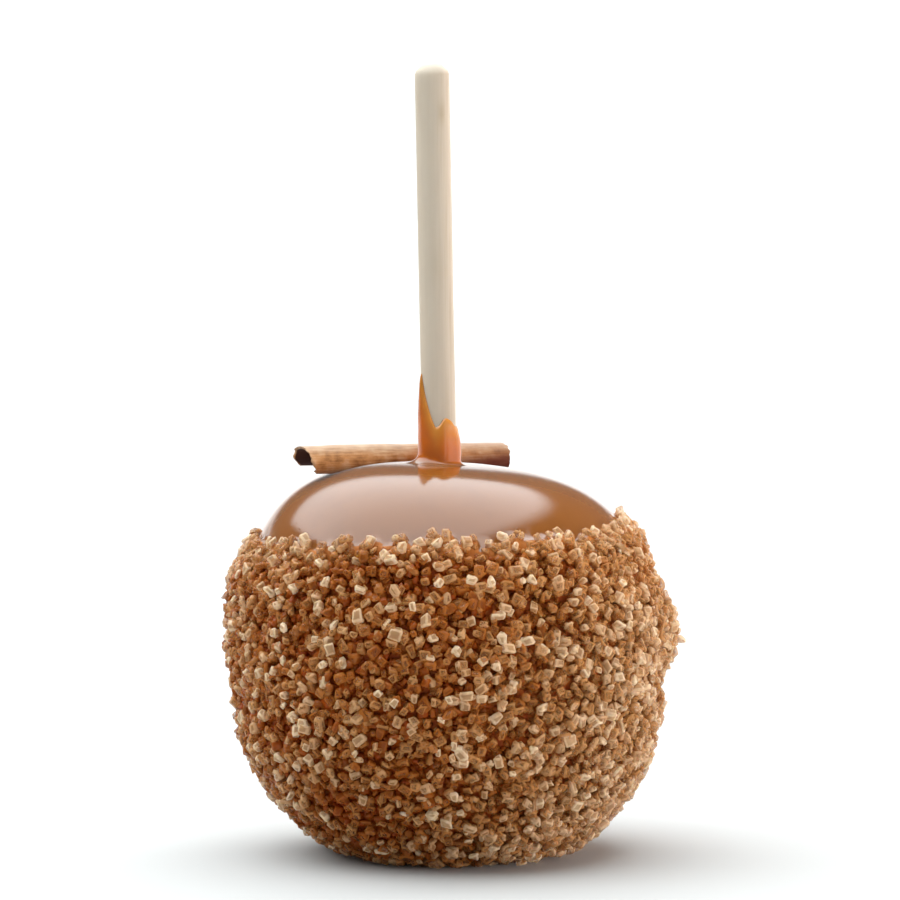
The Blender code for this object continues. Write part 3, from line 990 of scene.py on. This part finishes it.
@dataclass(frozen=True)
class CaramelCoat:
    """The caramel round the fruit, its collar on the stick, and the soaked sugar under the crystals."""

    fruit: FruitForm
    stick: Dowel
    columns: int = 300
    # Rings on the dome, up the collar and on the fillet between them, and how they crowd towards it
    dome_rows: int = 150
    wall_rows: int = 26
    fillet_rows: int = 12
    crowding: Pair = (1.25, 1.6)
    rim_height: float = 79.1 * MM
    # The film on the stick: its thickness low down and at the rim, and how soon it thickens
    wall: float = 0.75 * MM
    tip_wall: float = 0.3 * MM
    wall_growth: float = 3.0 * MM
    rim_rounding: float = 0.9 * MM
    # Gaps round the stick, in its hole and under the film, and the heights of the hole's rings over its end
    clearance: Pair = (0.005 * MM, 0.01 * MM)
    bore_heights: Pair = (50.0 * MM, 70.0 * MM)
    foot_height: float = 72.0 * MM
    # Depth under the rim at which the film has its full colour, and the power by which it gets there
    film_depth: Pair = (6.0 * MM, 0.7)
    # The rim's spike and low flames: angle from +X in degrees, height, half-width in degrees
    spike: Triple = (203.0, 9.9 * MM, 57.0)
    spike_power: float = 1.2
    flames: Rows = ((290.0, 1.4 * MM, 16.0), (312.0, 1.1 * MM, 18.0), (80.0, 3.4 * MM, 38.0))
    # Runs: angle from +X in degrees, half-width in degrees, height, half-height, reach
    runs: Rows = (
        (335.0, 30.0, 75.3 * MM, 2.6 * MM, 0.35 * MM),
        (284.0, 20.0, 74.0 * MM, 5.5 * MM, 0.3 * MM),
    )
    unevenness: Pair = (0.06 * MM, 1.6 * MM)
    # The fillet at the collar's foot: reach, height, and how much further both go on its left
    fillet: Pair = (1.5 * MM, 1.0 * MM)
    fillet_left: Pair = (0.9, 1.1)
    left_side: Pair = (200.0, 60.0)
    # The bed of soaked sugar: its thickness, how much it follows the clumps, its relief and its floor
    bed: float = 1.1 * MM
    bed_clumping: float = 0.6
    bed_relief: Pair = (0.35 * MM, 1.2 * MM)
    bed_floor: float = 0.7 * MM

    def rim(self, degrees: Array) -> Array:
        """Shapes the collar's rim.

        Args:
            degrees: Angles round the stick.

        Returns:
            The rim's height at each.
        """
        middle, high, half_width = self.spike
        tent = np.maximum(0.0, 1.0 - np.abs(turned_away(degrees, middle)) / half_width)
        height = self.rim_height + high * tent**self.spike_power
        for middle, high, half_width in self.flames:
            height = height + high * bell(turned_away(degrees, middle), half_width)
        return height

    def film(self, below_rim: Array, degrees: Array, height: Array) -> Array:
        """Thickness of the caramel on the stick.

        Args:
            below_rim: Distance below the rim.
            degrees: Angle round the stick.
            height: Height in the part's frame.

        Returns:
            The thickness, which rounds off to nothing at the rim.
        """
        rounding = np.clip(below_rim / self.rim_rounding, 0.0, 1.0)
        round_edge = np.sqrt(1.0 - (1.0 - rounding) ** 2)
        thick = self.tip_wall + (self.wall - self.tip_wall) * (1.0 - np.exp(-below_rim / self.wall_growth))
        for middle, half_width, at_height, half_height, reach in self.runs:
            run = bell(turned_away(degrees, middle), half_width) * bell(height - at_height, half_height)
            thick = thick + reach * run
        turn = np.radians(degrees) * np.ones_like(height)
        spots = [self.stick.radius * np.cos(turn), self.stick.radius * np.sin(turn), height]
        reach, size = self.unevenness
        return round_edge * (thick + reach * noise_at(np.stack(spots, axis=-1), size, 60.0))

    def dome(self, turn: Array, left: Array) -> tuple[Array, Array]:
        """The coat's rings from the collar's foot to the base.

        Args:
            turn: Angles round the stick, in radians.
            left: How far each lies on the collar's left, 0 to 1.

        Returns:
            Points as rings by columns by X, Y, Z, and the crust's share there.
        """
        pole = self.fruit.direction_to(Vector(self.stick.point(self.foot_height)))
        tip = np.array(Vector((0.0, 0.0, 1.0)).rotation_difference(pole).to_matrix())
        reach = self.fillet[0] * (1.0 + self.fillet_left[0] * left)
        start = (self.stick.radius + self.wall + reach) / self.fruit.above
        share = np.linspace(0.0, 1.0, self.dome_rows + 1)[:-1, None] ** self.crowding[0]
        polar = start + (math.pi - start) * share
        around = [np.sin(polar) * np.cos(turn), np.sin(polar) * np.sin(turn), np.cos(polar)]
        directions = np.stack(around, axis=-1) @ tip.T
        dome = self.fruit.coat(directions)
        crust = self.fruit.crust_share(dome)
        relief = self.bed_relief[0] * noise_at(dome, self.bed_relief[1], 3.0)
        thick = self.bed + self.bed_clumping * self.fruit.clumping(dome) + relief
        dome = dome + self.fruit.outward(directions) * (crust * thick)[..., None]
        dome[..., 2] = np.maximum(dome[..., 2], self.bed_floor)
        return dome, crust

    def rows(self) -> tuple[Array, Array, Array, Array]:
        """The coat's rings, from the bottom of the stick's hole, up it, and down outside to the base.

        Returns:
            Points as rings by columns by X, Y, Z, and there the film's thickness as 0 to 2, the crust's
            share, and how far below the sugar line the bed lies as 0 to 1.
        """
        degrees = np.arange(self.columns) * 360.0 / self.columns
        turn = np.radians(degrees)
        level = np.stack([np.cos(turn), np.sin(turn), np.zeros_like(turn)], axis=-1)
        left = bell(turned_away(degrees, self.left_side[0]), self.left_side[1])
        rim = self.rim(degrees)
        dome, crust = self.dome(turn, left)

        tangent = unit(dome[1] - dome[0])
        off_axis = (dome[0] - self.stick.point(dome[0, :, 2]))[:, :2]
        away = np.linalg.norm(off_axis, axis=-1) - self.stick.radius - self.wall
        corner = dome[0] - tangent * (away / np.linalg.norm(tangent[:, :2], axis=-1))[:, None]
        upper = corner[:, 2] + self.fillet[1] * (1.0 + self.fillet_left[1] * left)

        depth = np.linspace(0.0, 1.0, self.wall_rows)[:, None] ** self.crowding[1]
        height = rim - (rim - upper) * depth
        wall = self.stick.radius + self.clearance[1] + self.film(rim - height, degrees, height)
        outside = self.stick.point(height) + level * wall[..., None]
        mix = np.linspace(0.0, 1.0, self.fillet_rows + 1)[1:-1, None, None]
        fillet = (1.0 - mix) ** 2 * outside[-1] + 2.0 * mix * (1.0 - mix) * corner + mix**2 * dome[0]

        bore = self.stick.point(np.array([self.stick.top[2] - self.stick.length, *self.bore_heights]))
        bore = bore[:, None] + level * (self.stick.radius + self.clearance[0])
        points = np.concatenate([bore, outside, fillet, dome])
        film, soaked, bed = np.ones(points.shape[:2]), np.zeros(points.shape[:2]), np.zeros(points.shape[:2])
        depth, power = self.film_depth
        film[len(bore) : len(bore) + self.wall_rows] = smoothstep((rim - height) / depth) ** power
        film[-self.dome_rows - len(fillet) : -self.dome_rows] += smoothstep(1.4 * mix[..., 0])
        film[-self.dome_rows :] = 2.0
        soaked[-self.dome_rows :] = crust
        bed[-self.dome_rows :] = smoothstep(self.fruit.below_line(dome) / self.fruit.line_taper)
        return points, film, soaked, bed

    def build(self) -> None:
        """Builds the coat and dresses it in caramel and soaked sugar."""
        points, film, soaked, bed = self.rows()
        top = self.stick.point(self.stick.top[2] - self.stick.length)
        bottom = (points[-1, :, 0].mean(), points[-1, :, 1].mean(), self.bed_floor)
        mesh = tube_mesh("caramel_coat", points, np.array([top, bottom]))
        values = {"film": np.append(film, (1.0, 1.0)), "bed": np.append(bed, (0.0, 1.0))}
        finishes = [CookedCaramel().make(), SoakedSugar().make()]
        add_piece(mesh, Slot.CARAMEL, "coated_apple", finishes, **values)
        soaked = np.append(soaked, (0.0, 1.0))
        for face in mesh.polygons:
            face.material_index = int(soaked[face.vertices[0]] > 0.5)


@dataclass(frozen=True)
class CrystalKind:
    """One kind of sugar crystal, which makes one piece.

    Sizes are in metres, and shape, chamfer and crookedness are shares of the crystal's side. A plain
    crystal has a vertex at each corner. A chamfered one has three there, one on each of the faces that
    meet, and then a vertex in the middle of each face.
    """

    name: str
    seed: int
    spacing: float
    side: Pair
    lift: Pair
    shade: Pair
    # The share that is kept, how much that varies in clusters, and how far over the sugar line they go
    kept: float = 1.0
    clustered: float = 0.0
    over_line: float = 0.0
    lean: float = math.radians(28.0)
    # Limits of its length, width and thickness
    shape: Rows = ((0.9, 1.3), (0.7, 1.0), (0.5, 0.85))
    chamfered: bool = True
    chamfer: Pair = (0.12, 0.32)
    chamfer_spread: Pair = (0.5, 1.2)
    skew: float = 0.25
    crooked: float = 0.12
    shadow: bool = True
    finish: RawSugar = RawSugar()

    def signs(self) -> Array:
        """Which way each corner vertex lies along X, Y and Z."""
        corners = np.array(list(product((-1.0, 1.0), repeat=3)))
        return np.repeat(corners, 3, axis=0) if self.chamfered else corners

    def faces(self) -> tuple[Array, ...]:
        """Lays out one crystal's faces.

        Returns:
            Arrays of vertex indices, one row for each face.
        """
        signs, ring = self.signs(), ((0, 0), (1, 0), (1, 1), (0, 1))
        sides, edges = [], []
        for axis, first, second in ((0, 1, 2), (1, 0, 2), (2, 0, 1)):
            around = [first_on * (4 >> first) + second_on * (4 >> second) for first_on, second_on in ring]
            sides += [[corner + side * (4 >> axis) for corner in around] for side in (0, 1)]
            for low in around:
                high = low + (4 >> axis)
                edges.append([3 * low + first, 3 * low + second, 3 * high + second, 3 * high + first])
        if not self.chamfered:
            return (self.turned_out(np.array(sides), signs),)
        points = signs * (0.7 + 0.3 * np.eye(3)[np.arange(24) % 3])
        flat = self.turned_out(3 * np.array(sides) + np.repeat(np.arange(3), 2)[:, None], points)
        middles = np.repeat(24 + np.arange(6), 4).reshape(6, 4)
        fans = np.stack([flat, np.roll(flat, -1, axis=1), middles], axis=-1).reshape(-1, 3)
        cut_corners = self.turned_out(np.arange(24).reshape(8, 3), points)
        return np.append(fans, cut_corners, axis=0), self.turned_out(np.array(edges), points)

    @staticmethod
    def turned_out(faces: Array, points: Array) -> Array:
        """Turns faces that face into their solid round.

        Args:
            faces: Vertex indices, one row for each face.
            points: The solid's vertices, with the origin in its middle.

        Returns:
            The faces, all facing out.
        """
        first, second, third = (points[faces[:, index]] for index in range(3))
        facing = np.einsum("fi,fi->f", np.cross(second - first, third - second), points[faces].mean(axis=1))
        return np.where(facing[:, None] > 0.0, faces, faces[:, ::-1])

    def shaped(self, count: int, draw: np.random.Generator) -> Array:
        """Shapes many crystals, each in its own frame with its thinnest side along Z.

        Args:
            count: How many.
            draw: The source of random numbers.

        Returns:
            Points as crystals by vertices by X, Y, Z.
        """
        signs, axes = self.signs(), np.arange(24) % 3
        side = draw.uniform(*self.side, count)[:, None]
        half = side * np.stack([draw.uniform(*limits, count) for limits in self.shape], axis=-1) / 2.0
        crooked = draw.uniform(-1.0, 1.0, (count, 8, 3)) * self.crooked * side[:, None]
        if self.chamfered:
            chamfer = side * draw.uniform(*self.chamfer, (count, 3))
            chamfer = chamfer * draw.uniform(*self.chamfer_spread, (count, 1))
            inset = chamfer[:, None] * (1.0 - np.eye(3)[axes])
            points = signs * (half[:, None] - inset) + np.repeat(crooked, 3, axis=1)
            faces = 2 * axes + (signs[np.arange(24), axes] > 0)
            middles = [points[:, faces == face].mean(axis=1) for face in range(6)]
            points = np.concatenate([points, np.stack(middles, axis=1)], axis=1)
        else:
            points = signs * half[:, None] + crooked
        points[..., :2] += points[..., 2:] * draw.uniform(-self.skew, self.skew, (count, 1, 2))
        return points


@dataclass(frozen=True)
class SugarCrust:
    """The raw sugar round the fruit: crystals in layers, the small dark ones deepest."""

    fruit: FruitForm
    # From the deepest layer to the outermost
    kinds: tuple[CrystalKind, ...] = (
        CrystalKind(
            "sugar_fine", 2, 1.3 * MM, (0.7 * MM, 1.3 * MM), (0.7 * MM, 1.5 * MM), (0.1, 0.5),
            over_line=-2.4 * MM, lean=math.radians(45.0), chamfered=False,
        ),
        CrystalKind(
            "sugar_soaked", 3, 1.9 * MM, (1.1 * MM, 1.8 * MM), (1.0 * MM, 1.9 * MM), (0.2, 0.7),
            over_line=-1.2 * MM, lean=math.radians(45.0), chamfered=False,
        ),
        CrystalKind("sugar_amber", 4, 2.1 * MM, (1.2 * MM, 2.0 * MM), (1.6 * MM, 2.5 * MM), (0.3, 0.72)),
        # The two palest pass light on, so they throw no shadow
        CrystalKind(
            "sugar_golden", 5, 2.0 * MM, (1.2 * MM, 2.0 * MM), (2.1 * MM, 3.0 * MM), (0.42, 0.88),
            kept=0.85, clustered=0.3, over_line=0.5 * MM, shadow=False,
        ),
        CrystalKind(
            "sugar_clear", 6, 3.0 * MM, (1.2 * MM, 2.1 * MM), (2.6 * MM, 3.3 * MM), (0.75, 1.1),
            kept=0.45, clustered=0.7, over_line=0.8 * MM, shadow=False,
            finish=RawSugar("raw_cane_sugar_crystals_crazed", cover=(0.45, 0.85)),
        ),
    )
    spread_over: float = 2.0 * MM
    scatter: float = 0.42
    # The crust's shares at which its first and its last crystal go, near the sugar line
    thinning: Pair = (0.15, 0.95)
    cluster_size: float = 5.0 * MM
    lean_share: float = 0.7
    # How far a layer is turned round Z and round X for each unit of its seed, so that no two line up
    layer_turns: Pair = (1.7, 0.9)
    # Shade: from where to where crystals grow paler with height, as painted shade low in the crust, how dark
    # the deepest are, and how much paler they are at the sugar line and, as painted light, on the side where
    # the light falls
    depth_range: Pair = (0.8 * MM, 3.2 * MM)
    deep_shade: float = 0.45
    line_shade: float = 0.5
    lit_side_direction: Triple = (0.9, -0.15, -0.35)
    lit_side_within: float = 0.9
    lit_side_gain: float = 0.55

    def places(self, kind: CrystalKind, draw: np.random.Generator) -> tuple[Array, ...]:
        """Where the crystals of a kind lie.

        Args:
            kind: The kind.
            draw: The source of random numbers.

        Returns:
            The points of the caramel under them, the way out there, their heights over it, and how thick
            the crust is there as a share of its usual thickness.
        """
        count = int(4.0 * math.pi * (self.fruit.radius + self.spread_over) ** 2 / kind.spacing**2)
        spread = self.scatter * math.sqrt(4.0 * math.pi / count)
        directions = unit(spiral_directions(count) + draw.uniform(-spread, spread, (count, 3)))
        around, over = (turn * kind.seed for turn in self.layer_turns)
        turned = Matrix.Rotation(around, 3, "Z") @ Matrix.Rotation(over, 3, "X")
        directions = directions @ np.array(turned).T
        on_coat = self.fruit.coat(directions)
        share = self.fruit.crust_share(on_coat - np.array([0.0, 0.0, kind.over_line]))
        cluster = smoothstep(1.6 * (0.5 + noise_at(on_coat, self.cluster_size, 20.0)) - 0.3)
        chance = kind.kept * (1.0 - kind.clustered + 2.0 * kind.clustered * cluster)
        keep = (share > draw.uniform(*self.thinning, count)) & (draw.random(count) < chance)
        directions, on_coat = directions[keep], on_coat[keep]
        lift = draw.uniform(*kind.lift, len(on_coat)) + self.fruit.clumping(on_coat)
        thickness = self.fruit.thickness_share(on_coat)
        return on_coat, self.fruit.outward(directions), lift * thickness, thickness

    def build(self, kind: CrystalKind, sugar: bpy.types.Material) -> None:
        """Builds the crystals of a kind as one piece.

        Args:
            kind: The kind.
            sugar: Its material.
        """
        draw = np.random.default_rng(kind.seed)
        under, outward, lift, thickness = self.places(kind, draw)
        count = len(under)
        local = kind.shaped(count, draw)
        lean = draw.normal(0.0, 1.0, (count, 3)) * math.tan(kind.lean) * self.lean_share
        up = unit(outward + lean)
        first = unit(np.cross(up, draw.normal(0.0, 1.0, (count, 3))))
        turned = np.einsum("nvi,nij->nvj", local, np.stack([first, np.cross(up, first), up], axis=1))
        points = turned + (under + outward * lift[:, None])[:, None]
        points[..., 2] += np.maximum(0.0, -points[..., 2].min(axis=1))[:, None]
        # Painted shade: each crystal is darker low down, nearer the bed
        height = np.einsum("nvi,ni->nv", turned, outward) + (lift / thickness)[:, None]
        lit = self.deep_shade + (1.0 - self.deep_shade) * smoothstep(height, *self.depth_range)
        shade = draw.uniform(*kind.shade, count)[:, None] * lit
        thinned = (1.0 - thickness) / (1.0 - self.fruit.line_thickness)
        # Painted light: crystals on the side where the light falls are painted paler
        dry = smoothstep(outward @ unit(np.array(self.lit_side_direction)) / self.lit_side_within)
        for gain in (self.line_shade * thinned, self.lit_side_gain * dry):
            shade = shade + gain[:, None] * (1.0 - shade)

        vertices = local.shape[1]
        starts = (vertices * np.arange(count))[:, None, None]
        loops = [(group + starts).reshape(-1, group.shape[1]) for group in kind.faces()]
        mesh = new_mesh(kind.name, points.reshape(-1, 3), *loops)
        # Painted highlight: corners get a rim of 1 and the faces' middles 0, so edges are painted paler;
        # plain crystals get 0.3 all over
        rim = np.repeat((1.0, 0.0), (24, 6)) if kind.chamfered else np.full(8, 0.3)
        values = {"rim": np.tile(rim, count), "shade": shade}
        piece = add_piece(mesh, Slot.CARAMEL, "coated_apple", [sugar], **values)
        piece.visible_shadow = kind.shadow
        LOG.info("%s: %d crystals", kind.name, count)

    def build_all(self) -> None:
        """Builds every kind, with one material for each finish."""
        sugars = {finish: finish.make() for finish in dict.fromkeys(kind.finish for kind in self.kinds)}
        for kind in self.kinds:
            self.build(kind, sugars[kind.finish])


# ----------------------------------------------------------------------------------------------- studio


@dataclass(frozen=True)
class Softbox:
    """A soft rectangular light, aimed at the apple, which the camera doesn't see."""

    name: str
    place: Triple
    size: Pair
    watts: float
    colour: str = "#ffffff"
    lighting: bool = True
    mirrored: bool = False

    def build(self, target: Vector) -> None:
        """Adds the light.

        Args:
            target: The point that it is aimed at.
        """
        light = bpy.data.lights.new(self.name, "AREA")
        light.shape = "RECTANGLE"
        light.size, light.size_y = self.size
        light.energy = self.watts
        light.color = linear(self.colour)[:3]
        lamp = bpy.data.objects.new(self.name, light)
        lamp.location = self.place
        lamp.visible_camera = False
        lamp.visible_diffuse = self.lighting
        lamp.visible_glossy = self.mirrored
        lamp.rotation_euler = (target - Vector(self.place)).to_track_quat("-Z", "Y").to_euler()
        bpy.context.scene.collection.objects.link(lamp)


@dataclass(frozen=True)
class CeilingPanel:
    """A large diffusing panel overhead, brightest in front and fainter towards its back edge.

    Its edges are distances along X and Y for each unit of its height over the apple. Its right edge bows
    out in the middle.
    """

    left: float = -1.65
    right: float = 0.6
    front: float = -0.6
    back: float = 1.9
    beyond: float = 9.0
    edge: float = 0.12
    bow: float = 0.23
    bow_middle: float = 0.7
    brightness: float = 4.8
    faintest: float = 0.5
    fade_from: float = 0.4
    lowest: float = 0.02

    def light(self, add: NodeAdder, x: Socket, y: Socket, z: Socket) -> Socket:
        """Adds the nodes that light the sky where the panel hangs.

        Args:
            add: What adds a node to the world's tree.
            x: The direction's X.
            y: The direction's Y.
            z: The direction's Z.

        Returns:
            The panel's brightness in that direction.
        """
        height = add("Math", (z, self.lowest), operation="MAXIMUM")
        aside, across = (add("Math", (part, height), operation="DIVIDE") for part in (x, y))
        off_middle = add("Math", (across, self.bow_middle), operation="SUBTRACT")
        squared = add("Math", (off_middle, off_middle), operation="MULTIPLY")
        bowed = add("Math", (squared, self.bow, aside), operation="MULTIPLY_ADD")
        fade = add("MapRange", (across, self.fade_from, self.back, 1.0, self.faintest))
        level = add("Math", (fade, self.brightness), operation="MULTIPLY")
        spans = ((self.left, self.beyond), (-self.beyond, self.right), (self.front, self.back))
        for place, (low, high) in zip((aside, bowed, across), spans):
            for start, end in ((low - self.edge, low + self.edge), (high + self.edge, high - self.edge)):
                side = add("MapRange", (place, start, end), interpolation_type="SMOOTHSTEP")
                level = add("Math", (side, level), operation="MULTIPLY")
        return level


@dataclass(frozen=True)
class Studio:
    """The camera, the lights and the ground, which aren't part of the apple."""

    target: Triple = (-1.94 * MM, 0.0, 74.7 * MM)
    distance: float = 1.0
    elevation: float = math.radians(4.3)
    lens: float = 216.0
    sensor: float = 36.0
    clip: Pair = (0.01, 20.0)
    # The ground: its flat part's radius, and how far out and up its edge curves
    ground: Triple = (1.9, 0.5, 0.36)
    ground_rings: tuple[float, ...] = (0.05, 0.2, 0.5, 1.0)
    ground_steps: int = 16
    ground_columns: int = 96
    surround: float = 0.18
    sky: str = "#eef7fb"
    # The lit backdrop behind: its brightness, and the rise at which it starts to fade and is gone
    backdrop: Triple = (1.7, 0.12, 0.18)
    backdrop_from: Pair = (0.0, 0.5)
    # The black flag in front: its near and far edge, the heights of its foot and top, and the angles it spans
    flag: tuple[float, ...] = (0.45, 1.6, 0.002, 0.8)
    flag_span: Pair = (160.0, 322.0)
    flag_columns: int = 25
    panel: CeilingPanel = CeilingPanel()
    boxes: tuple[Softbox, ...] = (
        Softbox("right_softbox", (0.9, -0.1, 0.14), (0.9, 0.3), 8.6, "#f7f4f6"),
        Softbox("right_card", (0.5, -0.75, 0.3), (0.3, 0.6), 1.0, lighting=False, mirrored=True),
        Softbox("right_rim_light", (0.75, 0.75, 0.3), (0.4, 0.9), 6.0),
        Softbox("left_reflector", (-0.95, 0.1, 0.3), (0.6, 0.8), 0.25),
        Softbox("left_rim_light", (-0.75, 0.75, 0.2), (0.4, 0.6), 1.6),
        Softbox("back_strip", (0.15, 1.7, 0.14), (1.7, 0.22), 0.6, mirrored=True),
    )

    def build(self) -> None:
        """Adds the camera, the lights, the surround, the ground and the flag."""
        scene = bpy.context.scene
        target = Vector(self.target)
        back = Vector((0.0, -math.cos(self.elevation), math.sin(self.elevation)))
        camera = bpy.data.objects.new("camera", bpy.data.cameras.new("camera"))
        camera.data.lens = self.lens
        camera.data.sensor_width = self.sensor
        camera.data.clip_start, camera.data.clip_end = self.clip
        camera.location = target + self.distance * back
        camera.rotation_euler = (-back).to_track_quat("-Z", "Y").to_euler()
        scene.collection.objects.link(camera)
        scene.camera = camera
        scene.view_settings.view_transform = "Standard"
        for box in self.boxes:
            box.build(target)
        self.build_surround()
        self.build_ground()
        self.build_flag()

    def build_surround(self) -> None:
        """Sets a dim, even surround with the panel overhead and a lit backdrop behind."""
        world = bpy.data.worlds.new("surround")
        world.use_nodes = True
        tree = world.node_tree
        add = partial(add_node, tree)
        x, y, z = add("SeparateXYZ", (add("TexCoord", out="Generated"),)).node.outputs
        brightness, low, high = self.backdrop
        rise = add("MapRange", (z, high, low, 0.0, brightness), interpolation_type="SMOOTHSTEP")
        behind = add("MapRange", (y, *self.backdrop_from))
        lit = add("Math", (rise, behind, self.panel.light(add, x, y, z)), operation="MULTIPLY_ADD")
        level = add("Math", (lit, self.surround), operation="ADD")
        feed(tree.nodes["Background"], {"Color": self.sky, "Strength": level})
        bpy.context.scene.world = world

    def build_ground(self) -> None:
        """Adds the paper ground: a round floor that curves up to a low rim all round."""
        radius, out, up = self.ground
        curve = np.linspace(0.0, 1.0, self.ground_steps + 1)[1:]
        rings = np.array(self.ground_rings)
        wide = np.concatenate([radius * rings, radius + out * curve])[:, None]
        high = np.concatenate([0.0 * rings, up * curve**2])[:, None]
        turn = np.arange(self.ground_columns) * math.tau / self.ground_columns
        rows = np.stack([wide * np.cos(turn), wide * np.sin(turn), high * np.ones_like(turn)], axis=-1)
        count, around = rows.shape[:2]
        here = np.arange(around)
        middle = np.stack([here, (here + 1) % around, np.full(around, count * around)], axis=-1)
        points = np.append(rows.reshape(-1, 3), np.zeros((1, 3)), axis=0)
        mesh = new_mesh("ground", points, grid(count, around)[:, ::-1], middle)
        mesh.shade_smooth()
        add_stage(mesh, StudioSweep())

    def build_flag(self) -> None:
        """Adds the flag, which only keeps the white floor in front out of the caramel's gloss."""
        near, far, low, high = self.flag
        turn = np.radians(np.linspace(*self.flag_span, self.flag_columns))
        ends = ((near, low), (far, low), (far, high))
        points = np.array([(away * math.cos(a), away * math.sin(a), up) for away, up in ends for a in turn])
        mesh = new_mesh("black_flag", points, grid(len(ends), self.flag_columns, closed=False))
        flag = add_stage(mesh, BlackVelvet())
        for ray in ("camera", "diffuse", "transmission", "shadow"):
            setattr(flag, f"visible_{ray}", False)


def main() -> None:
    """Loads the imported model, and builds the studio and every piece."""
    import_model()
    Studio().build()
    fruit, stick = FruitForm(), Dowel()
    CaramelCoat(fruit, stick).build()
    stick.build()
    Quill().build(stick)
    SugarCrust(fruit).build_all()


if __name__ == "__main__":
    logging.basicConfig(level=logging.INFO, format="%(name)s: %(message)s")
    main()
